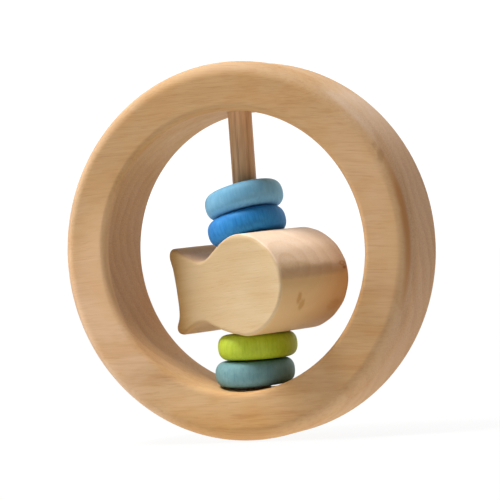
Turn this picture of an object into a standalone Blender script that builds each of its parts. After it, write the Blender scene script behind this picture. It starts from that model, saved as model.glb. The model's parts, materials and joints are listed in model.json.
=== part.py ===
"""Wooden grasping rattle: a thick turned ring that stands on its rim, with a dowel glued
upright across its bore. Four round discs and a fish slide and turn loosely on the dowel.

Metres, +Z up. The origin is the middle of the rim's lowest facet, where the ring stands.
The ring's axis is Y and the dowel runs along Z. The front is -Y.
"""

import math

import bmesh
import bpy
from mathutils import Matrix, Vector

COLLECTION = "baby_rattle"

# Ring: a turned hoop with sanded edges. The edge arcs are quarter ellipses.
RING_RADIUS = 0.060
BORE_RADIUS = 0.0443
RING_WIDTH = 0.028
OUTER_EDGE_RADIAL = 0.0048
OUTER_EDGE_AXIAL = 0.0062
INNER_EDGE = 0.0021
RING_STEPS = 96
RING_CENTRE = RING_RADIUS * math.cos(math.pi / RING_STEPS)

# Dowel: glued into a blind socket below and a hole through the top of the ring.
DOWEL_RADIUS = 0.00385
DOWEL_SHIFT = 0.0004
DOWEL_FIT = 0.0002
SOCKET_DEPTH = 0.0080
DOWEL_END_SINK = 0.00025
DOWEL_CHAMFER = 0.0003
DOWEL_SIDES = 40

# Discs: flat beads with a loose bore. The rim bulges, squarer than a half round.
DISC_RADIUS = 0.01275
DISC_HALF = 0.00405
DISC_RIM_ROUND = 0.0036
DISC_RIM_POWER = 2.4
DISC_BORE = 0.0059
DISC_BORE_ROUND = 0.0014
DISC_STEPS = 36

# Fish: a flat outline as thick as the ring is wide. Lengths run from the dowel's axis. It is a
# little uneven, with the upper lobe of the tail larger than the lower one.
NOSE_LENGTH = 0.0318
TAIL_LENGTH = 0.0252
TAIL_HOLLOW = 0.0020
UPPER_SIDE = {
    "hip": 0.0124,
    "rise": (0.0036, 0.0106),
    "waist": (0.0075, 0.0097),
    "swell": 0.0124,
    "tail": 0.0152,
    "reach": -0.0005,
}
LOWER_SIDE = {
    "hip": 0.0135,
    "rise": (0.0050, 0.0117),
    "waist": (0.0098, 0.0100),
    "swell": 0.0107,
    "tail": 0.0127,
    "reach": 0.0009,
}
BODY_HALF = 0.0161
FISH_DEPTH = 0.028
FISH_EDGE = 0.0012
FISH_BORE = 0.0054
BORE_SIDES = 32

# Where the loose pieces lie on the dowel. Heights are from the ring's centre.
REST_GAP = 0.00015
FISH_TURN = math.radians(-28.0)
FISH_PITCH = math.radians(4.0)
FISH_ROLL = math.radians(1.8)
SHOULDER_TILT = math.radians(14.3)
FISH_HEIGHT = -0.01107
GREY_BLUE_SHIFT = -0.0006
GREY_BLUE_LEAN = math.radians(1.6)
GREEN_SHIFT = 0.0009
GREEN_LEAN = math.radians(0.5)
SHOULDER_DISCS = {
    "blue_disc": {"height": 0.00766, "downhill": -0.0002},
    "light_blue_disc": {"height": 0.0161, "downhill": 0.0003},
}

WOOD = {
    "ring": (0.56, 0.36, 0.20),
    "dowel": (0.33, 0.21, 0.12),
    "fish": (0.68, 0.50, 0.29),
}
STAIN = {
    "light_blue_disc": (0.17, 0.42, 0.66),
    "blue_disc": (0.02, 0.17, 0.55),
    "green_disc": (0.36, 0.50, 0.03),
    "grey_blue_disc": (0.17, 0.34, 0.38),
}


def clear_scene():
    for obj in list(bpy.data.objects):
        bpy.data.objects.remove(obj)


def new_collection(name, hidden):
    collection = bpy.data.collections.new(name)
    bpy.context.scene.collection.children.link(collection)
    collection.hide_render = hidden
    return collection


def wood_material(name, colour, roughness):
    material = bpy.data.materials.new(name)
    material.use_nodes = True
    shader = material.node_tree.nodes["Principled BSDF"]
    shader.inputs["Base Color"].default_value = (*colour, 1.0)
    shader.inputs["Roughness"].default_value = roughness
    shader.inputs["Metallic"].default_value = 0.0
    return material


def arc(centre, radii, start, end, steps):
    """Points of an elliptical arc in a profile's plane, angles in degrees."""
    points = []
    for i in range(steps + 1):
        angle = math.radians(start + (end - start) * i / steps)
        points.append((centre[0] + radii[0] * math.cos(angle), centre[1] + radii[1] * math.sin(angle)))
    return points


def profile_mesh(name, points):
    """A closed profile in the XZ plane, given as (radius, height)."""
    mesh = bpy.data.meshes.new(name)
    edges = [(i, (i + 1) % len(points)) for i in range(len(points))]
    mesh.from_pydata([(radius, 0.0, height) for radius, height in points], edges, [])
    return mesh


def turned(name, points, steps, collection, material):
    """A piece turned from a profile that runs down its outer side and up its bore."""
    obj = bpy.data.objects.new(name, profile_mesh(name, points))
    obj.data.materials.append(material)
    collection.objects.link(obj)
    screw = obj.modifiers.new("turn", "SCREW")
    screw.axis = "Z"
    screw.steps = steps
    screw.render_steps = steps
    screw.use_merge_vertices = True
    screw.merge_threshold = 0.000001
    screw.use_smooth_shade = True
    return obj


def cylinder(name, radius, low, high, sides, collection, chamfer=0.0):
    """An upright cylinder between two heights, centred on the object's Z axis."""
    mesh = bpy.data.meshes.new(name)
    shape = bmesh.new()
    bmesh.ops.create_cone(
        shape, cap_ends=True, segments=sides, radius1=radius, radius2=radius, depth=high - low
    )
    bmesh.ops.translate(shape, verts=shape.verts, vec=(0.0, 0.0, (low + high) / 2))
    if chamfer:
        rims = [edge for edge in shape.edges if abs(edge.verts[0].co.z - edge.verts[1].co.z) < chamfer]
        bmesh.ops.bevel(
            shape, geom=rims, offset=chamfer, segments=1, affect="EDGES", profile=0.5
        )
    shape.to_mesh(mesh)
    shape.free()
    mesh.shade_smooth()
    mesh.set_sharp_from_angle(angle=math.radians(40))
    obj = bpy.data.objects.new(name, mesh)
    collection.objects.link(obj)
    return obj


def as_cutter(obj):
    obj.hide_render = True
    obj.display_type = "WIRE"


def cut(obj, cutter):
    boolean = obj.modifiers.new("cut_" + cutter.name, "BOOLEAN")
    boolean.operation = "DIFFERENCE"
    boolean.solver = "EXACT"
    boolean.object = cutter


def ring_profile():
    """The ring's section. Its height is along the ring's own axis."""
    half = RING_WIDTH / 2
    outer = (RING_RADIUS - OUTER_EDGE_RADIAL, half - OUTER_EDGE_AXIAL)
    inner = (BORE_RADIUS + INNER_EDGE, half - INNER_EDGE)
    outer_radii = (OUTER_EDGE_RADIAL, OUTER_EDGE_AXIAL)
    inner_radii = (INNER_EDGE, INNER_EDGE)
    points = arc(outer, outer_radii, 90, 0, 5)
    points += arc((outer[0], -outer[1]), outer_radii, 0, -90, 5)
    points += arc((inner[0], -inner[1]), inner_radii, -90, -180, 3)
    points += arc(inner, inner_radii, 180, 90, 3)
    return points


def make_ring(parts, cutters):
    material = wood_material("ring", WOOD["ring"], 0.55)
    ring = turned("ring", ring_profile(), RING_STEPS, parts, material)
    ring.location = (0.0, 0.0, RING_CENTRE)
    ring.rotation_euler = (math.radians(90), math.pi / RING_STEPS, 0.0)
    socket = cylinder(
        "dowel_socket",
        DOWEL_RADIUS + DOWEL_FIT,
        -BORE_RADIUS - SOCKET_DEPTH,
        RING_RADIUS * 1.1,
        DOWEL_SIDES,
        cutters,
    )
    socket.location = (DOWEL_SHIFT, 0.0, RING_CENTRE)
    as_cutter(socket)
    cut(ring, socket)


def make_dowel(parts):
    low = -BORE_RADIUS - SOCKET_DEPTH + DOWEL_FIT
    high = RING_RADIUS - DOWEL_END_SINK
    dowel = cylinder("dowel", DOWEL_RADIUS, low, high, DOWEL_SIDES, parts, DOWEL_CHAMFER)
    dowel.location = (DOWEL_SHIFT, 0.0, RING_CENTRE)
    dowel.data.materials.append(wood_material("dowel", WOOD["dowel"], 0.6))


def disc_profile():
    flat = DISC_RADIUS - DISC_RIM_ROUND
    bore = DISC_BORE + DISC_BORE_ROUND
    top = DISC_HALF - DISC_BORE_ROUND
    bore_radii = (DISC_BORE_ROUND, DISC_BORE_ROUND)
    points = []
    for x, z in arc((0.0, 0.0), (1.0, 1.0), 90, -90, 10):
        across = abs(x) ** (2 / DISC_RIM_POWER)
        up = math.copysign(abs(z) ** (2 / DISC_RIM_POWER), z)
        points.append((flat + DISC_RIM_ROUND * across, DISC_HALF * up))
    points += arc((bore, -top), bore_radii, -90, -180, 2)
    points += arc((bore, top), bore_radii, 180, 90, 2)
    return points


def rim_half(radius):
    """Half the disc's thickness at a distance from its own axis."""
    past = max(0.0, radius - (DISC_RADIUS - DISC_RIM_ROUND)) / DISC_RIM_ROUND
    return DISC_HALF * max(0.0, 1.0 - past**DISC_RIM_POWER) ** (1 / DISC_RIM_POWER)


def lowest_disc_height(shift, lean):
    """Height of a disc that rests in the hollow of the bore, clear of it by the rest gap."""
    reach = BORE_RADIUS * math.cos(math.pi / RING_STEPS) - REST_GAP
    heights = []
    for i in range(41):
        radius = DISC_RADIUS * i / 40
        for j in range(72):
            angle = 2 * math.pi * j / 72
            across = radius * math.cos(angle) + shift
            below = rim_half(radius) * math.cos(lean) - radius * math.sin(angle) * math.sin(lean)
            heights.append(below - math.sqrt(reach**2 - across**2))
    return max(heights)


def make_disc(name, place, lie, parts):
    """A disc whose centre is at place, turned by the Euler angles of its lie."""
    material = wood_material(name, STAIN[name], 0.5)
    disc = turned(name, disc_profile(), DISC_STEPS, parts, material)
    disc.location = place
    disc.rotation_euler = lie


def make_discs(parts):
    lowest = lowest_disc_height(GREY_BLUE_SHIFT, GREY_BLUE_LEAN)
    wedge = (DISC_RADIUS - DISC_RIM_ROUND) * math.sin(GREY_BLUE_LEAN - GREEN_LEAN)
    second = lowest + 2 * DISC_HALF + REST_GAP + wedge
    place = (GREY_BLUE_SHIFT, 0.0, RING_CENTRE + lowest)
    make_disc("grey_blue_disc", place, (GREY_BLUE_LEAN, 0.0, 0.0), parts)
    place = (GREEN_SHIFT, 0.0, RING_CENTRE + second)
    make_disc("green_disc", place, (GREEN_LEAN, 0.0, 0.0), parts)
    downhill = Vector((-math.cos(FISH_TURN), -math.sin(FISH_TURN), 0.0))
    for name, lie in SHOULDER_DISCS.items():
        place = downhill * lie["downhill"] + Vector((0.0, 0.0, RING_CENTRE + lie["height"]))
        make_disc(name, place, (FISH_ROLL, -SHOULDER_TILT, FISH_TURN), parts)


def fish_half_outline(side):
    """Half of the outline, from the nose to the middle of the tail's end."""
    end = -TAIL_LENGTH - side["reach"]
    return [
        (NOSE_LENGTH, 0.0),
        (0.93 * NOSE_LENGTH, 0.43 * BODY_HALF),
        (0.77 * NOSE_LENGTH, 0.74 * BODY_HALF),
        (0.56 * NOSE_LENGTH, 0.94 * BODY_HALF),
        (0.37 * NOSE_LENGTH, BODY_HALF),
        (0.18 * NOSE_LENGTH, 0.93 * BODY_HALF),
        (0.0, side["hip"]),
        (-side["rise"][0], side["rise"][1]),
        (-side["waist"][0], side["waist"][1]),
        (-0.62 * TAIL_LENGTH, side["swell"]),
        (0.90 * end, side["tail"]),
        (end, 0.88 * side["tail"]),
        (-TAIL_LENGTH + 0.75 * TAIL_HOLLOW, 0.50 * side["tail"]),
        (-TAIL_LENGTH + TAIL_HOLLOW, 0.0),
    ]


def fish_curve(parts):
    """A closed flat curve through the outline, filled and extruded to the fish's depth."""
    upper = fish_half_outline(UPPER_SIDE)
    lower = fish_half_outline(LOWER_SIDE)[1:-1]
    lower = [(x, -z) for x, z in reversed(lower)]
    outline = upper + lower
    curve = bpy.data.curves.new("fish_outline", "CURVE")
    curve.dimensions = "2D"
    curve.fill_mode = "BOTH"
    curve.extrude = FISH_DEPTH / 2
    curve.resolution_u = 5
    spline = curve.splines.new("BEZIER")
    spline.bezier_points.add(len(outline) - 1)
    for point, (x, z) in zip(spline.bezier_points, outline):
        point.co = (x, z, 0.0)
        point.handle_left_type = "AUTO"
        point.handle_right_type = "AUTO"
    spline.use_cyclic_u = True
    obj = bpy.data.objects.new("fish_outline", curve)
    parts.objects.link(obj)
    return obj


def make_fish(parts, cutters):
    outline = fish_curve(parts)
    bpy.context.view_layer.update()
    graph = bpy.context.evaluated_depsgraph_get()
    mesh = bpy.data.meshes.new_from_object(outline.evaluated_get(graph))
    mesh.name = "fish"
    bpy.data.objects.remove(outline)
    shape = bmesh.new()
    shape.from_mesh(mesh)
    bmesh.ops.remove_doubles(shape, verts=shape.verts, dist=0.00001)
    bmesh.ops.dissolve_limit(shape, angle_limit=math.radians(0.5), verts=shape.verts, edges=shape.edges)
    bmesh.ops.recalc_face_normals(shape, faces=shape.faces)
    shape.to_mesh(mesh)
    shape.free()
    mesh.materials.clear()
    mesh.materials.append(wood_material("fish", WOOD["fish"], 0.55))
    mesh.shade_smooth()
    mesh.set_sharp_from_angle(angle=math.radians(35))
    fish = bpy.data.objects.new("fish", mesh)
    parts.objects.link(fish)
    fish.location = (DOWEL_SHIFT, 0.0, RING_CENTRE + FISH_HEIGHT)
    fish.rotation_euler = (math.radians(90) + FISH_ROLL, -FISH_PITCH, FISH_TURN)
    bevel = fish.modifiers.new("sanded_edges", "BEVEL")
    bevel.width = FISH_EDGE
    bevel.segments = 3
    bevel.limit_method = "ANGLE"
    bevel.angle_limit = math.radians(60)
    bore = cylinder("fish_bore", FISH_BORE, -0.03, 0.03, BORE_SIDES, cutters)
    bore.matrix_world = (
        Matrix.Translation(fish.location)
        @ Matrix.Rotation(FISH_TURN, 4, "Z")
        @ Matrix.Rotation(-FISH_PITCH, 4, "Y")
        @ Matrix.Rotation(FISH_ROLL, 4, "X")
    )
    as_cutter(bore)
    cut(fish, bore)


def main():
    clear_scene()
    parts = new_collection(COLLECTION, hidden=False)
    cutters = new_collection("cutters", hidden=True)
    make_ring(parts, cutters)
    make_dowel(parts)
    make_discs(parts)
    make_fish(parts, cutters)


main()
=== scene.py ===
"""Look of the wooden grasping rattle: fine meshes, wood and stain materials, studio light and
the camera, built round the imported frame. Metres, +Z up, the ring stands on z = 0.
"""

import json
import math

import bmesh
import bpy
import numpy as np
from mathutils import Matrix, Vector


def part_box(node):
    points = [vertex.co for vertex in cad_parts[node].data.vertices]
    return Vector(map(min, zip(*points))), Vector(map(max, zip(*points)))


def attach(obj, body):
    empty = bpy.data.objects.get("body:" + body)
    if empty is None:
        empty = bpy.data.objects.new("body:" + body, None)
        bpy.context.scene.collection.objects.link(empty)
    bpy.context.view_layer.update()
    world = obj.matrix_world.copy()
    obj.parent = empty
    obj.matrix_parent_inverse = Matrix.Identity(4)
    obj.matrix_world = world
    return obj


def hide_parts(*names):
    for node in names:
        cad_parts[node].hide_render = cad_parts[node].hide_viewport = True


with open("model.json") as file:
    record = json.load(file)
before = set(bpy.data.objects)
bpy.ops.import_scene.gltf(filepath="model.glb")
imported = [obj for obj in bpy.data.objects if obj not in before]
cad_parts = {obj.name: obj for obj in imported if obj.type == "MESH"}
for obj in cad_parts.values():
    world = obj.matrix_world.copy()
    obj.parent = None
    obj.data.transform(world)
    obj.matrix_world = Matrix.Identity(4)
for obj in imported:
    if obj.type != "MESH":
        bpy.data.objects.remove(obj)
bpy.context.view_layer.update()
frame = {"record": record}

JOINTS = {joint["name"]: joint for joint in frame["record"]["behaviour"]["joints"]}
RING_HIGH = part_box("ring")[1]
DOWEL_LOW, DOWEL_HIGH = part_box("dowel")
CENTRE = Vector((0.0, 0.0, RING_HIGH[2] / 2))
DOWEL_X = (DOWEL_LOW[0] + DOWEL_HIGH[0]) / 2

# The fine meshes stay this far inside the solids that they replace.
CLEARANCE = 0.00002

# Ring. Next to each rounded edge a narrow row of faces, EDGE_SUPPORT wide, keeps the shading flat.
RING_RADIUS = RING_HIGH[0] - CLEARANCE
RING_HALF_WIDTH = RING_HIGH[1] - CLEARANCE
BORE_RADIUS = 0.0443
OUTER_EDGE_RADIAL = 0.0048
OUTER_EDGE_AXIAL = 0.0062
INNER_EDGE = 0.0021
RING_STEPS = 288
OUTER_EDGE_STEPS = 16
INNER_EDGE_STEPS = 10
EDGE_SUPPORT = 0.0007
RIM_ROW = 0.0050
SOCKET_DEPTH = 0.0080

# Dowel and the hole that it is glued into
DOWEL_RADIUS = 0.00384
DOWEL_CHAMFER = 0.0003
DOWEL_SIDES = 72
HOLE_RADIUS = 0.00402
HOLE_SIDES = 96
HOLE_TOP = RING_RADIUS * 1.1

# Discs
DISC_RADIUS = 0.01274
DISC_HALF = 0.00404
DISC_RIM_ROUND = 0.0036
DISC_RIM_POWER = 2.4
DISC_BORE = 0.0059
DISC_BORE_ROUND = 0.0014
DISC_STEPS = 144
DISC_RIM_STEPS = 32
DISC_BORE_STEPS = 8
DISC_EDGE_SUPPORT = 0.0003
DISC_UNEVENNESS = 0.00003

# Fish
NOSE_LENGTH = 0.0318
TAIL_LENGTH = 0.0252
TAIL_HOLLOW = 0.0020
UPPER_SIDE = {
    "hip": 0.0124,
    "rise": (0.0036, 0.0106),
    "waist": (0.0075, 0.0097),
    "swell": 0.0124,
    "tail": 0.0152,
    "reach": -0.0005,
}
LOWER_SIDE = {
    "hip": 0.0135,
    "rise": (0.0050, 0.0117),
    "waist": (0.0098, 0.0100),
    "swell": 0.0107,
    "tail": 0.0127,
    "reach": 0.0009,
}
BODY_HALF = 0.0161
FISH_DEPTH = 0.028
FISH_BORE = 0.0054
FISH_BORE_SIDES = 72
FISH_BORE_REACH = 0.03
FISH_EDGE_STEPS = 9
FISH_SIDE_STEPS = 16
FISH_SPACING = 0.00045
FISH_UNEVENNESS = 0.00005
FISH_TURN = math.radians(-28.0)
FISH_PITCH = math.radians(4.0)
FISH_ROLL = math.radians(1.8)
SHOULDER_TILT = math.radians(14.3)
GREY_BLUE_LEAN = math.radians(1.6)
GREEN_LEAN = math.radians(0.5)

# Fish's edges: FACE_EDGE wide, growing to TAIL_EDGE from TAIL_EDGE_START of the tail's length over
# TAIL_EDGE_SPAN of it. Where the outline turns faster than SHARP_TURN, in radians per metre, the
# edge is at most EDGE_OF_RADIUS of its radius.
FACE_EDGE = 0.0012
TAIL_EDGE = 0.0021
TAIL_EDGE_START = 0.62
TAIL_EDGE_SPAN = 0.33
SHARP_TURN = 40.0
EDGE_OF_RADIUS = 0.70
EDGE_BLUR = 8
TURN_BLUR = 4
TAIL_THINNING = 0.0010
TAIL_THINNING_LENGTH = 0.0080
TAIL_CUTS = 18

# Studio. A sun is an azimuth (0 is the front, positive towards +X), an elevation, the
# brightness it gives a white surface facing it, and its softness, angles in degrees.
SUNS = {
    "key": (-56.0, 66.0, 0.90, 16.0),
    "low_left": (-74.0, 20.0, 0.45, 30.0),
    "top": (0.0, 84.0, 0.30, 30.0),
}
FLOOR_DIFFUSE = 0.05
FLOOR_GLOW = 0.93
FLOOR_BOUNCE = 1.06
FLOOR_SIZE = 6.0
FLOOR_DROP = 0.0001
WHITE = (1.0, 1.0, 1.0)
BACKGROUND = 1.1
ROOM_LIGHT = 0.02
BACKDROP_LIGHT = 1.45
BACKDROP_DIRECTION = (-0.40, 0.917, 0.0)
BACKDROP_EDGE = (-0.2, 0.8)

# Camera, fitted to the ring's two outlines. Its place is from the ring's centre.
CAMERA_PLACE = (0.30227, -0.69294, 0.00185)
CAMERA_RIGHT = (0.91456, 0.39800, -0.07191)
CAMERA_UP = (0.06500, 0.03086, 0.99741)
CAMERA_BACK = (0.39918, -0.91687, 0.00236)
LENS = 170.65
SENSOR = 36.0


# ---------------------------------------------------------------- meshes


def arc(centre, radii, start, end, steps):
    """Points of an elliptical arc, angles in degrees."""
    angles = np.radians(np.linspace(start, end, steps + 1))
    return [(centre[0] + radii[0] * math.cos(a), centre[1] + radii[1] * math.sin(a)) for a in angles]


def new_object(name, vertices, faces, edge_weight, material):
    """A smooth mesh object. Its point attribute is above 0 on edges painted paler, by rubbing and on the
    ring as painted sheen, and below 0 where shade is painted on the ring.
    """
    mesh = bpy.data.meshes.new(name)
    mesh.from_pydata([tuple(v) for v in vertices], [], faces)
    attribute = mesh.attributes.new("edge", "FLOAT", "POINT")
    attribute.data.foreach_set("value", np.asarray(edge_weight, np.float32))
    shape = bmesh.new()
    shape.from_mesh(mesh)
    bmesh.ops.recalc_face_normals(shape, faces=shape.faces)
    shape.to_mesh(mesh)
    shape.free()
    mesh.shade_smooth()
    mesh.materials.append(material)
    obj = bpy.data.objects.new(name, mesh)
    bpy.context.scene.collection.objects.link(obj)
    return obj


def lathe(name, profile, weights, steps, axis, material, wobble=0.0, seed=0):
    """A closed (radius, height) profile turned about the local axis Y or Z.

    The wobble makes it a little uneven, and only ever smaller.
    """
    profile = np.array(profile)
    count = len(profile)
    rng = np.random.default_rng(seed)
    phases = rng.uniform(0.0, 2 * math.pi, 3)
    vertices = []
    for i in range(steps):
        angle = 2 * math.pi * i / steps
        waves = sum(math.sin((k + 2) * angle + phases[k]) for k in range(3)) / 3
        radius = profile[:, 0] - wobble * (1.0 + waves)
        height = profile[:, 1]
        across, up = radius * math.cos(angle), radius * math.sin(angle)
        if axis == "Y":
            rows = np.stack([across, height, up], 1)
        else:
            rows = np.stack([across, up, height], 1)
        vertices.extend(rows)
    faces = []
    for i in range(steps):
        here, there = i * count, ((i + 1) % steps) * count
        for j in range(count):
            k = (j + 1) % count
            faces.append((here + j, here + k, there + k, there + j))
    return new_object(name, vertices, faces, np.tile(weights, steps), material)


def cylinder(name, radius, low, high, sides):
    """A closed cylinder about Z, which cuts a hole."""
    mesh = bpy.data.meshes.new(name)
    shape = bmesh.new()
    bmesh.ops.create_cone(
        shape, cap_ends=True, segments=sides, radius1=radius, radius2=radius, depth=high - low
    )
    bmesh.ops.translate(shape, verts=shape.verts, vec=(0.0, 0.0, (low + high) / 2))
    shape.to_mesh(mesh)
    shape.free()
    obj = bpy.data.objects.new(name, mesh)
    bpy.context.scene.collection.objects.link(obj)
    return obj


def cut_out(obj, cutter, sharp_angle):
    """Cuts the cutter from the object and keeps the result as its mesh."""
    boolean = obj.modifiers.new("cut", "BOOLEAN")
    boolean.operation = "DIFFERENCE"
    boolean.solver = "EXACT"
    boolean.object = cutter
    bpy.context.view_layer.update()
    graph = bpy.context.evaluated_depsgraph_get()
    mesh = bpy.data.meshes.new_from_object(obj.evaluated_get(graph))
    obj.modifiers.clear()
    obj.data = mesh
    bpy.data.objects.remove(cutter)
    mesh.shade_smooth()
    mesh.set_sharp_from_angle(angle=math.radians(sharp_angle))


def place(obj, matrix, body, slot, *nodes):
    """Sets the object at its place and makes it stand for CAD nodes on a body."""
    obj.matrix_world = matrix
    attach(obj, body)
    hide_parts(*nodes)


# ---------------------------------------------------------------- materials

# Noise scales in cycles per metre. Wood's grain runs along X, and a disc's along Z.
CLOUD = (22.0, 34.0, 34.0)
PINK_OR_GOLD = (11.0, 26.0, 20.0)
BLOTCHES = (75.0, 135.0, 135.0)
BROAD_BEND = (7.0, 19.0, 19.0)
SMALL_BEND = (16.0, 75.0, 75.0)
FAINT_YEARS = (18.0, 40.0, 40.0)
FIBRES = (110.0, 1500.0, 1500.0)
FINE_FIBRES = (240.0, 3800.0, 3800.0)
PORES = (2600.0, 2600.0, 2600.0)
TONE_EDGE = (22.0, 130.0, 130.0)
MARK_EDGE = (900.0, 900.0, 900.0)
STAIN_CLOUD = (90.0, 90.0, 60.0)
STAIN_FIBRES = (1500.0, 1500.0, 130.0)
STAIN_PORES = (2200.0, 2200.0, 2200.0)
STAIN_PATCHES = (420.0, 420.0, 420.0)

# Shared colours that darken the wood they are multiplied with.
BLOTCH_TINT = (0.97, 0.90, 0.77)
END_BAND_TINT = (0.80, 0.70, 0.62)
# This tint paints shade on the ring's bore, inner lips and rim corners.
PAINTED_SHADE_TINT = (0.98, 0.90, 0.66)

WOOD_BUMP = (0.35, 0.00012)
STAIN_BUMP = (0.3, 0.0001)
STAIN_PITH = (-0.02, -0.013, 0.0)
STAIN_YEAR = 0.0021
STAIN_ROUGHNESS = 0.60
STAIN_SPECULAR = 0.28


def colour(r, g, b):
    """A socket's value for a linear colour."""
    return (r, g, b, 1.0)


class Nodes:
    """Short calls for a material's nodes."""

    def __init__(self, name):
        self.material = bpy.data.materials.new(name)
        self.material.use_nodes = True
        self.tree = self.material.node_tree
        self.shader = self.tree.nodes["Principled BSDF"]
        coordinates = self.add("ShaderNodeTexCoord")
        self.point = coordinates.outputs["Object"]
        self.normal = coordinates.outputs["Normal"]
        self.edge = self.add("ShaderNodeAttribute", attribute_name="edge").outputs["Fac"]

    def add(self, kind, **settings):
        node = self.tree.nodes.new(kind)
        for key, value in settings.items():
            setattr(node, key, value)
        return node

    def link(self, source, target):
        self.tree.links.new(source, target)

    def put(self, socket, value):
        if isinstance(value, bpy.types.NodeSocket):
            self.link(value, socket)
        else:
            socket.default_value = value

    def math(self, operation, a, b=0.0, clamp=False):
        node = self.add("ShaderNodeMath", operation=operation, use_clamp=clamp)
        self.put(node.inputs[0], a)
        self.put(node.inputs[1], b)
        return node.outputs[0]

    def times(self, a, b):
        return self.math("MULTIPLY", a, b)

    def sway(self, value, field, depth):
        """The value, moved by the field's swing about 0.5."""
        return self.math("ADD", value, self.times(self.math("SUBTRACT", field, 0.5), depth))

    def vector(self, operation, a, b=(0.0, 0.0, 0.0)):
        node = self.add("ShaderNodeVectorMath", operation=operation)
        self.put(node.inputs[0], a)
        self.put(node.inputs[1], b)
        return node.outputs["Value" if operation in ("LENGTH", "DOT_PRODUCT") else "Vector"]

    def parts(self, vector):
        """The outputs that hold a vector's X, Y and Z."""
        node = self.add("ShaderNodeSeparateXYZ")
        self.link(vector, node.inputs[0])
        return node.outputs

    def noise(self, where, scale, detail=3.0, roughness=0.5):
        """Noise of about 0.5, on points scaled by a vector in cycles per metre."""
        node = self.add("ShaderNodeTexNoise")
        self.put(node.inputs["Vector"], self.vector("MULTIPLY", where, scale))
        node.inputs["Scale"].default_value = 1.0
        node.inputs["Detail"].default_value = detail
        node.inputs["Roughness"].default_value = roughness
        return node.outputs["Fac"]

    def remap(self, value, low, high, to_low=0.0, to_high=1.0):
        """A smooth step from one range to another, held at its ends."""
        node = self.add("ShaderNodeMapRange", interpolation_type="SMOOTHSTEP")
        self.put(node.inputs["Value"], value)
        node.inputs["From Min"].default_value = low
        node.inputs["From Max"].default_value = high
        node.inputs["To Min"].default_value = to_low
        node.inputs["To Max"].default_value = to_high
        return node.outputs["Result"]

    def facing(self, axis, low, high):
        """A step on how far the surface faces along a local axis, either way."""
        along = self.vector("DOT_PRODUCT", self.normal, axis)
        return self.remap(self.math("ABSOLUTE", along), low, high)

    def mix(self, factor, a, b, blend="MIX"):
        node = self.add("ShaderNodeMix", data_type="RGBA", blend_type=blend)
        self.put(node.inputs["Factor"], factor)
        self.put(node.inputs[6], a)
        self.put(node.inputs[7], b)
        return node.outputs[2]

    def tint(self, base, mask, depth, tint):
        """Multiplies the base with a tint where the mask is."""
        return self.mix(self.times(mask, depth), base, colour(*tint), "MULTIPLY")

    def bump(self, height, strength, distance):
        node = self.add("ShaderNodeBump")
        node.inputs["Strength"].default_value = strength
        node.inputs["Distance"].default_value = distance
        self.link(height, node.inputs["Height"])
        self.link(node.outputs["Normal"], self.shader.inputs["Normal"])


def add_mark(m, base, mark, sides):
    """A knot, a streak, a broad tone, painted shade or a painted highlight: a soft stretched spot about a
    point on the surface.
    """
    near = m.vector("LENGTH", m.vector("DIVIDE", m.vector("SUBTRACT", m.point, mark["at"]), mark["size"]))
    near = m.sway(near, m.noise(m.point, mark.get("wobble", MARK_EDGE), 2.0), 0.5)
    strength = m.remap(near, 1.0, mark.get("core", 0.35), 0.0, mark["strength"])
    if mark.get("ring"):
        inner = m.remap(near, 0.55, 0.30)
        strength = m.math("SUBTRACT", strength, m.times(inner, 0.8), clamp=True)
    if mark.get("sides"):
        strength = m.times(strength, sides)
    return m.mix(strength, base, colour(*mark["colour"]))


def grain_fields(m, where, look):
    """Points bent like the grain, the late wood of growth rings about a line along X, and fibres."""
    bend = m.add("ShaderNodeCombineXYZ")
    for axis, offset in ((1, (0.0, 0.0, 0.0)), (2, (3.1, 7.7, 1.3))):
        there = m.vector("ADD", where, offset)
        broad = m.math("SUBTRACT", m.noise(there, BROAD_BEND, 1.0), 0.5)
        small = m.noise(there, SMALL_BEND, 2.0)
        m.put(bend.inputs[axis], m.sway(m.times(broad, look["wander"]), small, look["wander"] / 5))
    bent = m.vector("ADD", where, bend.outputs[0])
    across = m.vector("MULTIPLY", m.vector("SUBTRACT", bent, (0.0, *look["pith"])), (0.0, 1.0, 1.0))
    year = m.math("FRACT", m.math("DIVIDE", m.vector("LENGTH", across), look["gap"]))
    late = m.math("SUBTRACT", m.remap(year, 0.15, 0.86), m.remap(year, 0.86, 1.0), clamp=True)
    faint = m.noise(m.vector("ADD", where, (5.2, 1.1, 0.4)), FAINT_YEARS, 2.0)
    late = m.times(late, m.remap(faint, 0.32, 0.68, 0.25, 1.0))
    fibres = m.noise(bent, FIBRES, 3.0, 0.6)
    fine = m.noise(bent, FINE_FIBRES, 2.0, 0.6)
    return bent, late, fibres, fine


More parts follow.
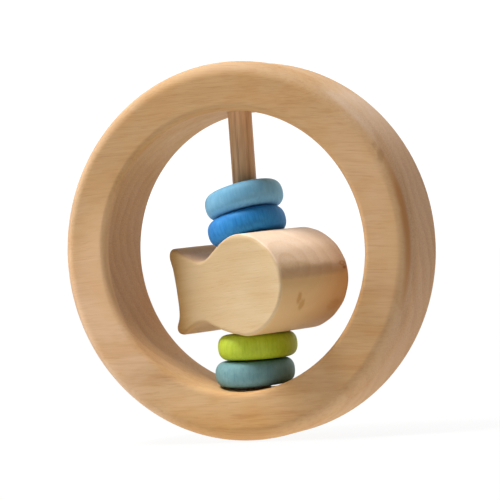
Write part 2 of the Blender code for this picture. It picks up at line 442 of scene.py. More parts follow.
def wood(name, look):
    """Sanded, oiled wood with its grain along local X."""
    m = Nodes(name)
    where = m.vector("ADD", m.point, look["offset"])
    bent, late, fibres, fine = grain_fields(m, where, look)
    sides = m.facing((0.0, 1.0, 0.0), 0.80, 0.45)

    cloud = m.noise(where, CLOUD, 3.0, 0.55)
    pink_or_gold = m.noise(m.vector("ADD", where, (0.7, 0.2, 0.5)), PINK_OR_GOLD, 2.0)
    base = m.mix(m.remap(cloud, 0.33, 0.68), colour(*look["light"]), colour(*look["dark"]))
    base = m.mix(m.remap(pink_or_gold, 0.38, 0.66), base, colour(*look["gold"]))
    for tone in look.get("tones", []):
        base = add_mark(m, base, {"wobble": TONE_EDGE, **tone}, sides)
    if "low_gold" in look:
        below = m.sway(m.parts(m.point)[2], cloud, 0.03)
        gold = m.remap(below, *look["low_gold"]["from"])
        base = m.mix(gold, base, colour(*look["low_gold"]["colour"]))

    blotches = m.noise(m.vector("ADD", where, (2.3, 0.9, 1.7)), BLOTCHES, 2.0)
    base = m.tint(base, m.remap(blotches, 0.40, 0.62), look["blotch_depth"], BLOTCH_TINT)
    base = m.tint(base, late, look["ring_depth"], look["late"])
    base = m.tint(base, m.remap(fibres, 0.40, 0.72), look["fibre_depth"], look["late"])
    flecks = m.noise(m.vector("ADD", bent, (1.9, 0.4, 2.2)), look["fleck_scale"], 1.0, 0.4)
    flecks = m.remap(flecks, 0.58, 0.72)
    base = m.tint(base, flecks, look["fleck_depth"], look["fleck"])
    lines = m.remap(m.noise(bent, look["line_scale"], 2.0, 0.5), 0.50, 0.72)
    base = m.tint(base, lines, look["line_depth"], look["fleck"])

    # End grain, where the surface faces along the fibres.
    end = m.facing((1.0, 0.0, 0.0), 0.45, 0.95)
    pores = m.noise(where, PORES, 2.0, 0.6)
    end_colour = m.mix(m.remap(pores, 0.35, 0.7), colour(*look["end_light"]), colour(*look["end_dark"]))
    end_colour = m.tint(end_colour, late, 0.55, END_BAND_TINT)
    base = m.mix(m.times(end, look["end_depth"]), base, end_colour)

    if "tips" in look:
        tips = look["tips"]
        along = m.sway(m.parts(m.point)[0], cloud, 0.004)
        base = m.tint(base, m.remap(along, *tips["from"]), tips["depth"], tips["colour"])
    if "belly" in look:
        belly = look["belly"]
        below = m.sway(m.parts(m.point)[2], cloud, 0.010)
        under = m.times(m.remap(below, *belly["from"]), sides)
        base = m.mix(m.times(under, belly["depth"]), base, colour(*belly["colour"]))

    # Edges can be rubbed paler by sanding and handling; on the ring the paler arrises are painted sheen.
    # Below 0 the edge weight paints shade on the ring's bore, inner lips and rim corners.
    painted_edge_shade = m.times(m.math("MULTIPLY", m.edge, -1.0, clamp=True), m.remap(cloud, 0.3, 0.7, 0.3, 1.0))
    base = m.mix(painted_edge_shade, base, colour(*PAINTED_SHADE_TINT), "MULTIPLY")
    rubbed_and_sheen = m.times(m.math("MAXIMUM", m.edge, 0.0), m.remap(cloud, 0.3, 0.6, 0.35, 1.0))
    base = m.mix(m.times(rubbed_and_sheen, look["wear_and_sheen"]), base, colour(*look["worn_and_sheen"]))
    for mark in look.get("marks", []):
        base = add_mark(m, base, mark, sides)
    m.link(base, m.shader.inputs["Base Color"])

    rough = m.sway(look["roughness"], fibres, 0.25)
    rough = m.math("ADD", rough, m.times(end, 0.10))
    rough = m.math("SUBTRACT", rough, m.times(rubbed_and_sheen, 0.06), clamp=True)
    m.link(rough, m.shader.inputs["Roughness"])
    m.shader.inputs["Specular IOR Level"].default_value = look["specular"]

    height = m.math("ADD", m.times(fibres, -0.6), m.times(fine, -0.3))
    height = m.math("SUBTRACT", height, m.times(flecks, 0.5))
    height = m.math("SUBTRACT", height, m.times(m.times(pores, end), 0.5))
    m.bump(height, *WOOD_BUMP)
    return m.material


def stain(name, look):
    """A turned wooden disc in water stain, with its grain along local Z."""
    m = Nodes(name)
    where = m.vector("ADD", m.point, look["offset"])
    fibres = m.noise(where, STAIN_FIBRES, 3.0, 0.6)
    cloud = m.noise(where, STAIN_CLOUD, 3.0, 0.55)
    base = m.mix(m.remap(cloud, 0.3, 0.7), colour(*look["light"]), colour(*look["dark"]))
    streaks = m.times(m.remap(fibres, 0.4, 0.72), look["fibre"])
    base = m.mix(streaks, base, colour(*look["deep"]))

    # The flat ends soak up more stain, in bands between the growth rings.
    end = m.facing((0.0, 0.0, 1.0), 0.55, 0.97)
    pores = m.noise(where, STAIN_PORES, 2.0, 0.6)
    across = m.vector("MULTIPLY", m.vector("SUBTRACT", where, STAIN_PITH), (1.0, 1.0, 0.0))
    year = m.math("FRACT", m.math("DIVIDE", m.vector("LENGTH", across), STAIN_YEAR))
    band = m.times(m.remap(year, 0.2, 0.95), 0.5)
    soaked = m.mix(m.math("MAXIMUM", band, m.remap(pores, 0.45, 0.75)), base, colour(*look["deep"]))
    base = m.mix(m.times(end, 0.75), base, soaked)

    patches = m.noise(where, STAIN_PATCHES, 3.0, 0.6)
    rubbed_and_sheen = m.times(m.edge, m.remap(patches, 0.42, 0.7))
    base = m.mix(m.times(rubbed_and_sheen, look["wear_and_sheen"]), base, colour(*look["worn_and_sheen"]))
    m.link(base, m.shader.inputs["Base Color"])

    rough = m.math("ADD", m.sway(STAIN_ROUGHNESS, fibres, 0.3), m.times(rubbed_and_sheen, 0.08))
    m.link(rough, m.shader.inputs["Roughness"])
    m.shader.inputs["Specular IOR Level"].default_value = STAIN_SPECULAR
    height = m.math("ADD", m.times(fibres, -0.7), m.times(pores, -0.25))
    m.bump(height, *STAIN_BUMP)
    return m.material


# Looks, with lengths in metres in the object's own frame. Growth rings lie round a line along X
# through "pith", "gap" apart, and bend by "wander". A tone or mark is a soft spot "at" a point that
# fades out at "size" from it. "core" is where it is full, "wobble" is the scale of its uneven edge,
# and "sides" keeps it off the faces along Y. "tips" yellows the wood towards the fish's tail, and
# "belly" browns it under the nose.
# Some tones and marks below are painted light and shade; a comment above each says so.
RING_LOOK = {
    "offset": (0.013, 0.004, 0.021),
    "pith": (0.055, 0.030),
    "gap": 0.0050,
    "wander": 0.022,
    "light": (0.63, 0.405, 0.225),
    "dark": (0.55, 0.345, 0.175),
    "gold": (0.57, 0.345, 0.165),
    "late": (0.80, 0.68, 0.56),
    "fleck": (0.78, 0.64, 0.47),
    "blotch_depth": 0.65,
    "ring_depth": 0.32,
    "fibre_depth": 0.34,
    "fleck_scale": (150.0, 3000.0, 3000.0),
    "fleck_depth": 0.22,
    "line_scale": (26.0, 1700.0, 1700.0),
    "line_depth": 0.26,
    "end_light": (0.52, 0.310, 0.168),
    "end_dark": (0.40, 0.220, 0.115),
    "end_depth": 0.85,
    # On the ring the pale arris colour and its strength below are painted sheen.
    "wear_and_sheen": 0.30,
    "worn_and_sheen": (0.72, 0.55, 0.41),
    "roughness": 0.58,
    "specular": 0.16,
    "low_gold": {"from": (-0.046, -0.064), "colour": (0.64, 0.345, 0.115)},
    "tones": [
        # Paler across the top of the rim: painted sheen.
        {"at": (0.006, 0.0, 0.0632), "size": (0.046, 0.05, 0.0070), "strength": 0.70,
         "colour": (0.76, 0.585, 0.44)},
        {"at": (-0.047, 0.0, -0.019), "size": (0.036, 0.05, 0.048), "strength": 0.90,
         "colour": (0.75, 0.495, 0.300)},
        {"at": (0.053, 0.0, 0.004), "size": (0.022, 0.05, 0.036), "strength": 0.60,
         "colour": (0.64, 0.415, 0.24)},
        # Paler, greyer upper right outer side: painted sheen.
        {"at": (0.044, 0.0, 0.041), "size": (0.018, 0.05, 0.018), "strength": 0.75,
         "colour": (0.76, 0.59, 0.45), "sides": True},
        {"at": (0.0, 0.0, 0.056), "size": (0.055, 0.05, 0.024), "strength": 0.75,
         "colour": (0.575, 0.345, 0.155)},
        {"at": (0.036, 0.0, -0.037), "size": (0.018, 0.05, 0.012), "strength": 0.15,
         "colour": (0.48, 0.285, 0.135)},
        {"at": (-0.005, 0.0, -0.047), "size": (0.034, 0.05, 0.012), "strength": 0.80,
         "colour": (0.75, 0.485, 0.25)},
    ],
    "marks": [
        # The next two: a dark brown line along the right arris with an orange fringe on the face, partly
        # the end grain's colour and partly painted shade where the light falls off.
        {"at": (0.0580, -0.0133, 0.004), "size": (0.012, 0.0020, 0.040), "strength": 0.35,
         "colour": (0.56, 0.325, 0.13), "wobble": (60.0, 300.0, 120.0)},
        {"at": (0.0580, -0.0122, 0.006), "size": (0.012, 0.0015, 0.038), "strength": 0.85, "core": 0.2,
         "colour": (0.43, 0.185, 0.062), "wobble": (60.0, 300.0, 120.0)},
        {"at": (0.0518, -0.0128, 0.0266), "size": (0.0014, 0.0020, 0.0042), "strength": 0.55,
         "colour": (0.36, 0.19, 0.08)},
        {"at": (0.0502, -0.0136, 0.0300), "size": (0.0012, 0.0020, 0.0022), "strength": 0.50,
         "colour": (0.36, 0.19, 0.08)},
        # Paler along the left inner lip: painted light over its shade.
        {"at": (-0.0450, -0.0128, 0.0), "size": (0.012, 0.0026, 0.040), "strength": 0.50,
         "colour": (0.78, 0.49, 0.26), "wobble": (60.0, 500.0, 60.0)},
    ],
}

FISH_LOOK = {
    "offset": (0.031, 0.052, 0.017),
    "pith": (0.046, 0.022),
    "gap": 0.0042,
    "wander": 0.012,
    "light": (0.645, 0.480, 0.285),
    "dark": (0.575, 0.410, 0.225),
    "gold": (0.615, 0.430, 0.225),
    "late": (0.86, 0.77, 0.64),
    "fleck": (0.80, 0.67, 0.50),
    "blotch_depth": 0.25,
    "ring_depth": 0.42,
    "fibre_depth": 0.20,
    "fleck_scale": (260.0, 3000.0, 3000.0),
    "fleck_depth": 0.16,
    "line_scale": (30.0, 1900.0, 1900.0),
    "line_depth": 0.18,
    "end_light": (0.62, 0.43, 0.27),
    "end_dark": (0.54, 0.345, 0.20),
    "end_depth": 0.55,
    "wear_and_sheen": 0.0,
    "worn_and_sheen": (0.64, 0.47, 0.29),
    "roughness": 0.55,
    "specular": 0.16,
    "tips": {"from": (-0.010, -0.025), "depth": 0.90, "colour": (0.97, 0.81, 0.53)},
    "belly": {"from": (0.0025, -0.0015), "depth": 0.80, "colour": (0.68, 0.425, 0.185)},
    "tones": [
        # Pale pink over the upper sides of the nose and body, ending sharply: painted sheen and painted
        # light from above.
        {"at": (0.020, 0.0, 0.018), "size": (0.030, 0.05, 0.0166), "core": 0.86, "strength": 0.94,
         "colour": (0.93, 0.735, 0.565), "sides": True},
        # Paler at the back end of the nose: painted light where the ring shades it.
        {"at": (0.030, 0.0125, 0.006), "size": (0.015, 0.011, 0.0068), "core": 0.60, "strength": 0.90,
         "colour": (0.95, 0.76, 0.58), "sides": True},
        {"at": (-0.014, 0.0, 0.0115), "size": (0.013, 0.05, 0.007), "strength": 0.80,
         "colour": (0.52, 0.31, 0.18), "sides": True},
    ],
    "marks": [
        # A dark band along the nose's side just below its middle: painted shade under the light's edge.
        {"at": (0.030, 0.0, 0.0014), "size": (0.020, 0.05, 0.0026), "strength": 0.42,
         "colour": (0.40, 0.235, 0.13), "sides": True},
        {"at": (0.0315, 0.0116, 0.0026), "size": (0.0014, 0.0015, 0.0011), "strength": 0.85,
         "colour": (0.45, 0.22, 0.07), "ring": True},
        {"at": (0.0315, 0.0122, 0.0012), "size": (0.0014, 0.0010, 0.0007), "strength": 0.80,
         "colour": (0.38, 0.15, 0.04)},
        {"at": (0.0293, -0.0060, -0.0063), "size": (0.003, 0.0013, 0.0030), "strength": 0.65,
         "colour": (0.46, 0.23, 0.06)},
        {"at": (0.0283, -0.0043, -0.0086), "size": (0.003, 0.0016, 0.0030), "strength": 0.60,
         "colour": (0.46, 0.23, 0.06)},
        {"at": (0.0272, 0.0095, -0.0098), "size": (0.005, 0.0035, 0.0030), "strength": 0.45,
         "colour": (0.52, 0.24, 0.08)},
    ],
}

DOWEL_LOOK = {
    "offset": (0.071, 0.013, 0.039),
    "pith": (0.012, 0.008),
    "gap": 0.0016,
    "wander": 0.003,
    "light": (0.70, 0.455, 0.25),
    "dark": (0.56, 0.35, 0.185),
    "gold": (0.63, 0.38, 0.19),
    "late": (0.72, 0.64, 0.56),
    "fleck": (0.50, 0.42, 0.36),
    "blotch_depth": 0.30,
    "ring_depth": 0.45,
    "fibre_depth": 0.50,
    "fleck_scale": (90.0, 1400.0, 1400.0),
    "fleck_depth": 0.60,
    "line_scale": (40.0, 1500.0, 1500.0),
    "line_depth": 0.45,
    "end_light": (0.46, 0.28, 0.16),
    "end_dark": (0.34, 0.19, 0.10),
    "end_depth": 0.85,
    "wear_and_sheen": 0.2,
    "worn_and_sheen": (0.52, 0.34, 0.2),
    "roughness": 0.60,
    "specular": 0.45,
}

STAINS = {
    "light_blue_disc": {
        "offset": (0.1, 0.2, 0.3),
        "light": (0.2, 0.478, 0.686),
        "dark": (0.152, 0.399, 0.593),
        "deep": (0.089, 0.273, 0.447),
        "fibre": 0.32,
        "wear_and_sheen": 0.22,
        "worn_and_sheen": (0.357, 0.609, 0.749),
    },
    "blue_disc": {
        "offset": (0.5, 0.1, 0.7),
        "light": (0.024, 0.267, 0.65),
        "dark": (0.016, 0.202, 0.55),
        "deep": (0.007, 0.098, 0.35),
        "fibre": 0.38,
        "wear_and_sheen": 0.16,
        "worn_and_sheen": (0.108, 0.442, 0.775),
    },
    "green_disc": {
        "offset": (0.9, 0.6, 0.2),
        "light": (0.466, 0.567, 0.026),
        "dark": (0.392, 0.483, 0.015),
        "deep": (0.233, 0.315, 0.007),
        "fibre": 0.38,
        "wear_and_sheen": 0.22,
        "worn_and_sheen": (0.615, 0.662, 0.11),
    },
    "grey_blue_disc": {
        "offset": (0.3, 0.8, 0.4),
        "light": (0.178, 0.349, 0.369),
        "dark": (0.135, 0.289, 0.31),
        "deep": (0.07, 0.174, 0.193),
        "fibre": 0.34,
        "wear_and_sheen": 0.22,
        "worn_and_sheen": (0.324, 0.491, 0.492),
    },
}


# ---------------------------------------------------------------- pieces


def joint_place(name):
    """The point in the world that a joint turns about."""
    return Vector(JOINTS[name]["pos_m"])


def bell(steps):
    """Weights of an edge arc: 0 at its ends and 1 in its middle."""
    return list(np.sin(np.linspace(0.0, math.pi, steps + 1)) ** 1.5)


def make_ring():
    """A section turned about the ring's axis, with a hole cut for the dowel.

    Its edge weights are above 0 on the arrises, painted paler as painted sheen, and below 0 on the rim's
    corners and in the bore, painted darker as painted shade.
    """
    half = RING_HALF_WIDTH
    outer = (RING_RADIUS - OUTER_EDGE_RADIAL, half - OUTER_EDGE_AXIAL)
    inner = (BORE_RADIUS + INNER_EDGE, half - INNER_EDGE)
    big, small = (OUTER_EDGE_RADIAL, OUTER_EDGE_AXIAL), (INNER_EDGE, INNER_EDGE)
    # Below 0 the edge weight paints shade: full in the bore and towards it on the inner lips, less on the
    # rim's corners.
    bore_shade, rim_shade = -0.9, -0.4
    lip = [bore_shade * k / INNER_EDGE_STEPS for k in range(INNER_EDGE_STEPS + 1)]
    # The arrises are painted paler in their middle, as painted sheen, and darker towards the rim, as
    # painted shade.
    arris = [
        0.5 * pale - 0.45 * (k / OUTER_EDGE_STEPS) ** 3
        for k, pale in enumerate(bell(OUTER_EDGE_STEPS))
    ]
    rim_end, bore_end = outer[1] - EDGE_SUPPORT, inner[1] - EDGE_SUPPORT
    face_end, face_start = outer[0] - EDGE_SUPPORT, inner[0] + EDGE_SUPPORT
    rim = [(RING_RADIUS, y) for y in (rim_end, RIM_ROW, 0.0, -RIM_ROW, -rim_end)]
    bore = [(BORE_RADIUS, y) for y in (-bore_end, 0.0, bore_end)]
    runs = [
        (arc(outer, big, 90, 0, OUTER_EDGE_STEPS), arris),
        (rim, [rim_shade, 0, 0, 0, rim_shade]),
        (arc((outer[0], -outer[1]), big, 0, -90, OUTER_EDGE_STEPS), arris[::-1]),
        ([(face_end, -half), (face_start, -half)], [0, 0]),
        (arc((inner[0], -inner[1]), small, -90, -180, INNER_EDGE_STEPS), lip),
        (bore, [bore_shade] * 3),
        (arc(inner, small, 180, 90, INNER_EDGE_STEPS), lip[::-1]),
        ([(face_start, half), (face_end, half)], [0, 0]),
    ]
    profile = [point for points, _ in runs for point in points]
    weights = [weight for _, values in runs for weight in values]
    ring = lathe("ring_body", profile, weights, RING_STEPS, "Y", wood("ring_wood", RING_LOOK))
    hole = cylinder("hole", HOLE_RADIUS, -BORE_RADIUS - SOCKET_DEPTH, HOLE_TOP, HOLE_SIDES)
    hole.location = (DOWEL_X, 0.0, 0.0)
    cut_out(ring, hole, 35)
    place(ring, Matrix.Translation(CENTRE), "ring_frame", "ring", "ring")


def make_dowel():
    """Turned about its own length, which is local X, with a broken edge at each end."""
    low, high = DOWEL_LOW[2] + CLEARANCE, DOWEL_HIGH[2] - CLEARANCE
    half, end_radius = (high - low) / 2, DOWEL_RADIUS - DOWEL_CHAMFER
    stations = [
        (-half, end_radius),
        (-half + DOWEL_CHAMFER, DOWEL_RADIUS),
        (half - DOWEL_CHAMFER, DOWEL_RADIUS),
        (half, end_radius),
    ]
    vertices = []
    for along, size in stations:
        for i in range(DOWEL_SIDES):
            angle = 2 * math.pi * i / DOWEL_SIDES
            vertices.append((along, size * math.cos(angle), size * math.sin(angle)))
    faces = []
    for row in range(len(stations) - 1):
        a, b = row * DOWEL_SIDES, (row + 1) * DOWEL_SIDES
        for i in range(DOWEL_SIDES):
            j = (i + 1) % DOWEL_SIDES
            faces.append((a + i, a + j, b + j, b + i))
    faces.append(tuple(range(DOWEL_SIDES)))
    faces.append(tuple(range(len(vertices) - DOWEL_SIDES, len(vertices))))
    weights = [0.0] * len(vertices)
    dowel = new_object("dowel_rod", vertices, faces, weights, wood("dowel_wood", DOWEL_LOOK))
    dowel.data.set_sharp_from_angle(angle=math.radians(30))
    upright = Matrix.Rotation(math.radians(-90), 4, "Y")
    centre = Vector((DOWEL_X, 0.0, (low + high) / 2))
    place(dowel, Matrix.Translation(centre) @ upright, "ring_frame", "dowel", "dowel")


def disc_profile():
    """A disc's section and its edge weights, from the top of the rim round to the top of the bore."""
    flat, bore = DISC_RADIUS - DISC_RIM_ROUND, DISC_BORE + DISC_BORE_ROUND
    top, face_end = DISC_HALF - DISC_BORE_ROUND, flat - DISC_EDGE_SUPPORT
    rim = []
    for x, z in arc((0.0, 0.0), (1.0, 1.0), 90, -90, DISC_RIM_STEPS):
        across = abs(x) ** (2 / DISC_RIM_POWER)
        up = math.copysign(abs(z) ** (2 / DISC_RIM_POWER), z)
        rim.append((flat + DISC_RIM_ROUND * across, DISC_HALF * up))
    rim_weights = list(np.sin(np.linspace(0.0, math.pi, DISC_RIM_STEPS + 1)) ** 4)
    radii = (DISC_BORE_ROUND, DISC_BORE_ROUND)
    low = arc((bore, -top), radii, -90, -180, DISC_BORE_STEPS)
    high = arc((bore, top), radii, 180, 90, DISC_BORE_STEPS)
    profile = rim + [(face_end, -DISC_HALF)] + low + [(DISC_BORE, 0.0)] + high
    profile += [(face_end, DISC_HALF)]
    bore_weights = bell(DISC_BORE_STEPS)
    weights = rim_weights + [0.0] + bore_weights + [0.0] + bore_weights + [0.0]
    return profile, weights


def make_discs():
    """The lowest disc is at its solid's middle, and each of the others is where its joint is."""
    profile, weights = disc_profile()
    low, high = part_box("grey_blue_disc")
    lowest = Vector([(a + b) / 2 for a, b in zip(low, high)])
    sloped = (
        Matrix.Rotation(FISH_TURN, 4, "Z")
        @ Matrix.Rotation(-SHOULDER_TILT, 4, "Y")
        @ Matrix.Rotation(FISH_ROLL, 4, "X")
    )
    lies = {
        "grey_blue_disc": (lowest, Matrix.Rotation(GREY_BLUE_LEAN, 4, "X")),
        "green_disc": (joint_place("green_disc_spin"), Matrix.Rotation(GREEN_LEAN, 4, "X")),
        "blue_disc": (joint_place("blue_disc_spin"), sloped),
        "light_blue_disc": (joint_place("light_blue_disc_spin"), sloped),
    }
    for number, (name, (centre, lie)) in enumerate(lies.items()):
        material = stain(name + "_stain", STAINS[name])
        disc = lathe(
            name + "_bead", profile, weights, DISC_STEPS, "Z", material, DISC_UNEVENNESS, number
        )
        place(disc, Matrix.Translation(centre) @ lie, name, name, name)


def fish_half_outline(side):
    """Points from the nose to the tail's hollow, with the side's heights taken as positive."""
    end = -TAIL_LENGTH - side["reach"]
    return [
        (NOSE_LENGTH, 0.0),
        (0.93 * NOSE_LENGTH, 0.43 * BODY_HALF),
        (0.77 * NOSE_LENGTH, 0.74 * BODY_HALF),
        (0.56 * NOSE_LENGTH, 0.94 * BODY_HALF),
        (0.37 * NOSE_LENGTH, BODY_HALF),
        (0.18 * NOSE_LENGTH, 0.93 * BODY_HALF),
        (0.0, side["hip"]),
        (-side["rise"][0], side["rise"][1]),
        (-side["waist"][0], side["waist"][1]),
        (-0.62 * TAIL_LENGTH, side["swell"]),
        (0.90 * end, side["tail"]),
        (end, 0.88 * side["tail"]),
        (-TAIL_LENGTH + 0.75 * TAIL_HOLLOW, 0.50 * side["tail"]),
        (-TAIL_LENGTH + TAIL_HOLLOW, 0.0),
    ]


def smooth_closed(values, reach):
    """A weighted moving average round a closed line."""
    kernel = np.hanning(2 * reach + 3)[1:-1]
    kernel /= kernel.sum()
    padded = np.concatenate([values[-reach:], values, values[:reach]])
    return np.convolve(padded, kernel, "valid")


def least_nearby(values, reach):
    """The smallest value within reach, round a closed line."""
    return np.min([np.roll(values, k) for k in range(-reach, reach + 1)], 0)


def fish_outline(spacing):
    """Evenly spaced points of a smooth curve through both half outlines, as (x, z)."""
    upper = fish_half_outline(UPPER_SIDE)
    lower = fish_half_outline(LOWER_SIDE)[1:-1]
    lower = [(x, -z) for x, z in reversed(lower)]
    curve = bpy.data.curves.new("outline", "CURVE")
    curve.dimensions = "2D"
    curve.fill_mode = "NONE"
    curve.resolution_u = 24
    spline = curve.splines.new("BEZIER")
    outline = upper + lower
    spline.bezier_points.add(len(outline) - 1)
    for point, (x, z) in zip(spline.bezier_points, outline):
        point.co = (x, z, 0.0)
        point.handle_left_type = "AUTO"
        point.handle_right_type = "AUTO"
    spline.use_cyclic_u = True
    obj = bpy.data.objects.new("outline", curve)
    bpy.context.scene.collection.objects.link(obj)
    bpy.context.view_layer.update()
    graph = bpy.context.evaluated_depsgraph_get()
    mesh = bpy.data.meshes.new_from_object(obj.evaluated_get(graph))
    raw = np.array([v.co[:2] for v in mesh.vertices])
    bpy.data.objects.remove(obj)
    bpy.data.meshes.remove(mesh)
    closed = np.vstack([raw, raw[:1]])
    length = np.concatenate([[0.0], np.cumsum(np.linalg.norm(np.diff(closed, axis=0), axis=1))])
    count = int(length[-1] / spacing)
    at = np.linspace(0.0, length[-1], count, endpoint=False)
    return np.stack([np.interp(at, length, closed[:, 0]), np.interp(at, length, closed[:, 1])], 1)


def thin_tail(mesh):
    """Rounds both faces inwards towards the tail's end."""
    shape = bmesh.new()
    shape.from_mesh(mesh)
    start = -TAIL_LENGTH + TAIL_THINNING_LENGTH
    for k in range(TAIL_CUTS):
        cut = (start - TAIL_THINNING_LENGTH * k / TAIL_CUTS, 0, 0)
        everything = shape.verts[:] + shape.edges[:] + shape.faces[:]
        bmesh.ops.bisect_plane(shape, geom=everything, dist=1e-6, plane_co=cut, plane_no=(1, 0, 0))
    for vertex in shape.verts:
        into = max(0.0, (start - vertex.co.x) / TAIL_THINNING_LENGTH)
        vertex.co.y *= 1.0 - TAIL_THINNING * into**2.2 / (FISH_DEPTH / 2)
    shape.to_mesh(mesh)
    shape.free()


def fish_edges(line):
    """The outward directions of the outline's points, and how wide the rounded edge is there."""
    ahead, behind = np.roll(line, -1, 0), np.roll(line, 1, 0)
    tangent = (ahead - behind) / np.linalg.norm(ahead - behind, axis=1)[:, None]
    area = 0.5 * np.sum(line[:, 0] * ahead[:, 1] - ahead[:, 0] * line[:, 1])
    outward = np.stack([tangent[:, 1], -tangent[:, 0]], 1) * np.sign(area)
    turn = np.cross(np.roll(tangent, 1, 0), np.roll(tangent, -1, 0)) * np.sign(area)
    turn = smooth_closed(turn / (2 * FISH_SPACING), TURN_BLUR)
    tail = np.clip((-line[:, 0] / TAIL_LENGTH - TAIL_EDGE_START) / TAIL_EDGE_SPAN, 0.0, 1.0)
    wanted = FACE_EDGE + (TAIL_EDGE - FACE_EDGE) * tail**2
    allowed = np.where(turn > SHARP_TURN, EDGE_OF_RADIUS / np.maximum(turn, 1.0), 1.0)
    edge = smooth_closed(least_nearby(np.minimum(wanted, allowed), EDGE_BLUR), EDGE_BLUR)
    return outward, edge


def make_fish():
    """A mesh of rows of points, each row once round the outline.

    They run from the front face over its edge, across the side and over the back face's edge.
    """
    line = fish_outline(FISH_SPACING)
    count = len(line)
    outward, edge = fish_edges(line)
    half = FISH_DEPTH / 2 - CLEARANCE
    vertices, weights, rows = [], [], 0

    def add_row(inset, depth, weight):
        nonlocal rows
        flat = line - outward * inset[:, None]
        unevenness = FISH_UNEVENNESS * (1.0 + np.sin(flat[:, 0] * 310.0 + depth * 190.0))
        flat = flat - outward * unevenness[:, None]
        vertices.extend(np.stack([flat[:, 0], np.broadcast_to(depth, count), flat[:, 1]], 1))
        weights.extend(np.broadcast_to(weight, count))
        rows += 1

    def edge_rows(side):
        add_row(edge * 1.15, np.full(count, side * half), 0.0)
        for k in range(FISH_EDGE_STEPS + 1):
            angle = math.pi / 2 * k / FISH_EDGE_STEPS
            inset = edge * (1.0 - math.sin(angle))
            depth = side * (half - edge * (1.0 - math.cos(angle)))
            add_row(inset, depth, math.sin(2 * angle))

    edge_rows(-1)
    for k in range(1, FISH_SIDE_STEPS):
        across = 2 * k / FISH_SIDE_STEPS - 1
        add_row(np.zeros(count), across * (half - edge), 0.0)
    near_rows = rows
    edge_rows(1)
    order = list(range(near_rows)) + list(range(rows - 1, near_rows - 1, -1))
    faces = []
    for a, b in zip(order[:-1], order[1:]):
        for i in range(count):
            j = (i + 1) % count
            faces.append((a * count + i, a * count + j, b * count + j, b * count + i))
    faces.append(tuple(order[0] * count + i for i in range(count)))
    faces.append(tuple(order[-1] * count + i for i in range(count)))
    fish = new_object("fish_body", vertices, faces, weights, wood("fish_wood", FISH_LOOK))
    thin_tail(fish.data)
    bore = cylinder("bore", FISH_BORE, -FISH_BORE_REACH, FISH_BORE_REACH, FISH_BORE_SIDES)
    cut_out(fish, bore, 40)
    matrix = (
        Matrix.Translation(joint_place("fish_spin"))
        @ Matrix.Rotation(FISH_TURN, 4, "Z")
        @ Matrix.Rotation(-FISH_PITCH, 4, "Y")
        @ Matrix.Rotation(FISH_ROLL, 4, "X")
    )
    place(fish, matrix, "fish", "fish", "fish")


# ---------------------------------------------------------------- stage


def camera_mix(tree, seen, unseen, output):
    """Shows one shader to the camera and gives the other to every other ray."""
    path = tree.nodes.new("ShaderNodeLightPath")
    mix = tree.nodes.new("ShaderNodeMixShader")
    tree.links.new(path.outputs["Is Camera Ray"], mix.inputs[0])
    tree.links.new(unseen, mix.inputs[1])
    tree.links.new(seen, mix.inputs[2])
    tree.links.new(mix.outputs[0], output.inputs["Surface"])


def make_floor():
    """A white floor, bright enough to leave only a faint shadow."""
    mesh = bpy.data.meshes.new("floor")
    corners = [(x * FLOOR_SIZE, y * FLOOR_SIZE, 0) for x, y in ((-1, -1), (1, -1), (1, 1), (-1, 1))]
    mesh.from_pydata(corners, [], [(0, 1, 2, 3)])
    material = bpy.data.materials.new("floor_white")
    material.use_nodes = True
    tree = material.node_tree
    output = tree.nodes["Material Output"]
    shader = tree.nodes["Principled BSDF"]
    shader.inputs["Base Color"].default_value = colour(*[FLOOR_DIFFUSE] * 3)
    shader.inputs["Roughness"].default_value = 1.0
    shader.inputs["Specular IOR Level"].default_value = 0.0
    shader.inputs["Emission Color"].default_value = colour(*WHITE)
    shader.inputs["Emission Strength"].default_value = FLOOR_GLOW
    bounce = tree.nodes.new("ShaderNodeEmission")
    bounce.inputs["Color"].default_value = colour(*WHITE)
    bounce.inputs["Strength"].default_value = FLOOR_BOUNCE
    camera_mix(tree, shader.outputs[0], bounce.outputs[0], output)
    mesh.materials.append(material)
    floor = bpy.data.objects.new("floor", mesh)
    floor.location = (0.0, 0.0, -FLOOR_DROP)
    bpy.context.scene.collection.objects.link(floor)


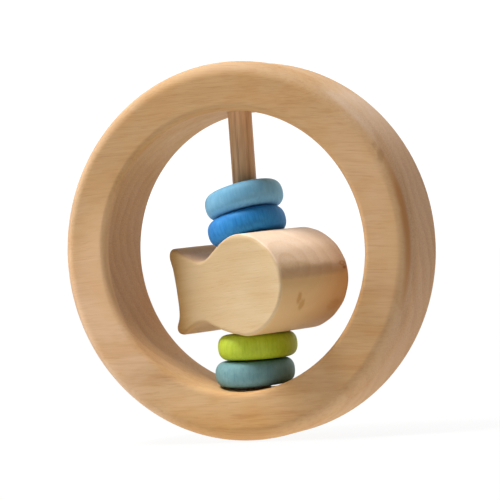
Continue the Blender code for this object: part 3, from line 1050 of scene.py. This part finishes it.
def make_world():
    """White to the camera. It lights the object softly, more from the backdrop than the room."""
    world = bpy.data.worlds.new("studio")
    bpy.context.scene.world = world
    world.use_nodes = True
    tree = world.node_tree
    tree.nodes.clear()
    output = tree.nodes.new("ShaderNodeOutputWorld")
    seen = tree.nodes.new("ShaderNodeBackground")
    seen.inputs["Color"].default_value = colour(*WHITE)
    seen.inputs["Strength"].default_value = BACKGROUND
    direction = tree.nodes.new("ShaderNodeTexCoord")
    facing = tree.nodes.new("ShaderNodeVectorMath")
    facing.operation = "DOT_PRODUCT"
    facing.inputs[1].default_value = BACKDROP_DIRECTION
    tree.links.new(direction.outputs["Generated"], facing.inputs[0])
    ramp = tree.nodes.new("ShaderNodeMapRange")
    ramp.interpolation_type = "SMOOTHSTEP"
    ramp.inputs["From Min"].default_value = BACKDROP_EDGE[0]
    ramp.inputs["From Max"].default_value = BACKDROP_EDGE[1]
    ramp.inputs["To Min"].default_value = ROOM_LIGHT
    ramp.inputs["To Max"].default_value = BACKDROP_LIGHT
    tree.links.new(facing.outputs["Value"], ramp.inputs["Value"])
    light = tree.nodes.new("ShaderNodeBackground")
    light.inputs["Color"].default_value = colour(*WHITE)
    tree.links.new(ramp.outputs["Result"], light.inputs["Strength"])
    camera_mix(tree, seen.outputs[0], light.outputs[0], output)


def make_sun(name, azimuth, elevation, level, softness):
    """A soft sun from one of SUNS."""
    light = bpy.data.lights.new(name, "SUN")
    light.energy = math.pi * level
    light.angle = math.radians(softness)
    obj = bpy.data.objects.new(name, light)
    a, e = math.radians(azimuth), math.radians(elevation)
    towards = Vector((math.sin(a) * math.cos(e), -math.cos(a) * math.cos(e), math.sin(e)))
    obj.rotation_mode = "QUATERNION"
    obj.rotation_quaternion = towards.to_track_quat("Z", "Y")
    bpy.context.scene.collection.objects.link(obj)


def make_camera():
    """A long lens at the photograph's angle."""
    camera = bpy.data.cameras.new("camera")
    camera.lens = LENS
    camera.sensor_width = SENSOR
    camera.clip_start, camera.clip_end = 0.01, 20.0
    obj = bpy.data.objects.new("camera", camera)
    turn = Matrix((CAMERA_RIGHT, CAMERA_UP, CAMERA_BACK)).transposed().to_4x4()
    obj.matrix_world = Matrix.Translation(CENTRE + Vector(CAMERA_PLACE)) @ turn
    bpy.context.scene.collection.objects.link(obj)
    bpy.context.scene.camera = obj


bpy.context.scene.view_settings.view_transform = "Standard"
make_camera()
make_world()
for sun_name, settings in SUNS.items():
    make_sun(sun_name, *settings)
make_floor()
make_ring()
make_dowel()
make_discs()
make_fish()
